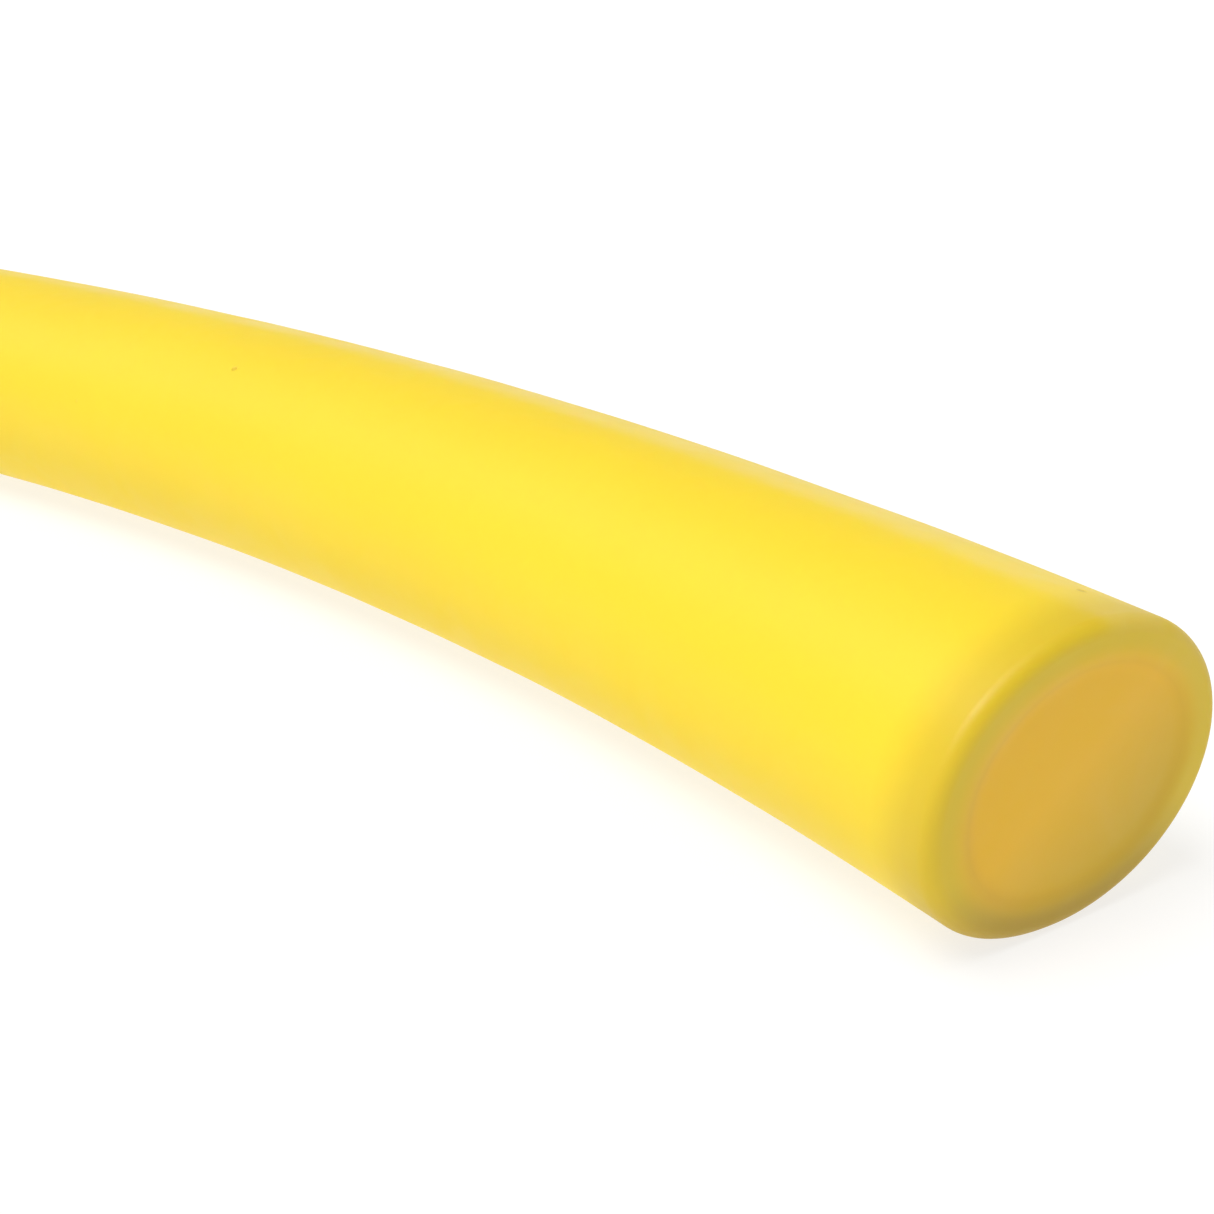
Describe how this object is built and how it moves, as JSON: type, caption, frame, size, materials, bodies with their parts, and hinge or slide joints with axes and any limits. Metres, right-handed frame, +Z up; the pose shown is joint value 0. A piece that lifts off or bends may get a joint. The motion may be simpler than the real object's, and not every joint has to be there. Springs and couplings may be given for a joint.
{
  "type": "rescue tube",
  "caption": "Bent foam rescue float with an oval section, a dipped yellow vinyl coat, one plain rounded end and a sewn strap tab with a steel D-ring at the tow end.",
  "frame": {"origin": "on the floor, at the middle of the whole object's footprint as it lies on its wide side", "axes": "+X along the chord of the bend towards the plain end, +Y towards the outside of the bend, +Z up"},
  "size_m": [1.3777, 0.2562, 0.1145],
  "materials": {
    "vinyl": "satin",
    "foam": "matte",
    "webbing": "matte",
    "thread": "matte",
    "steel": "polished"
  },
  "bodies": {
    "tube": {"vinyl_skin": "vinyl", "foam_plank_inner": "foam", "foam_plank_outer": "foam", "spine_webbing": "webbing", "spine_stitching": "thread"},
    "tow_tab": {"tow_tab": "webbing", "tab_stitching": "thread"},
    "tow_ring": {"tow_ring": "steel"}
  },
  "joints": [
    {"name": "tab_fold", "type": "hinge", "parent": "tube", "child": "tow_tab", "pos_m": [-0.57652, -0.06804, 0.057], "axis": [0, 0, 1], "range_deg": [-60, 60], "stiffness_Nm_per_rad": 0.15},
    {"name": "ring_swing", "type": "hinge", "parent": "tow_tab", "child": "tow_ring", "pos_m": [-0.64996, -0.09979, 0.057], "axis": [0, 0, 1], "range_deg": [-120, 120]}
  ]
}
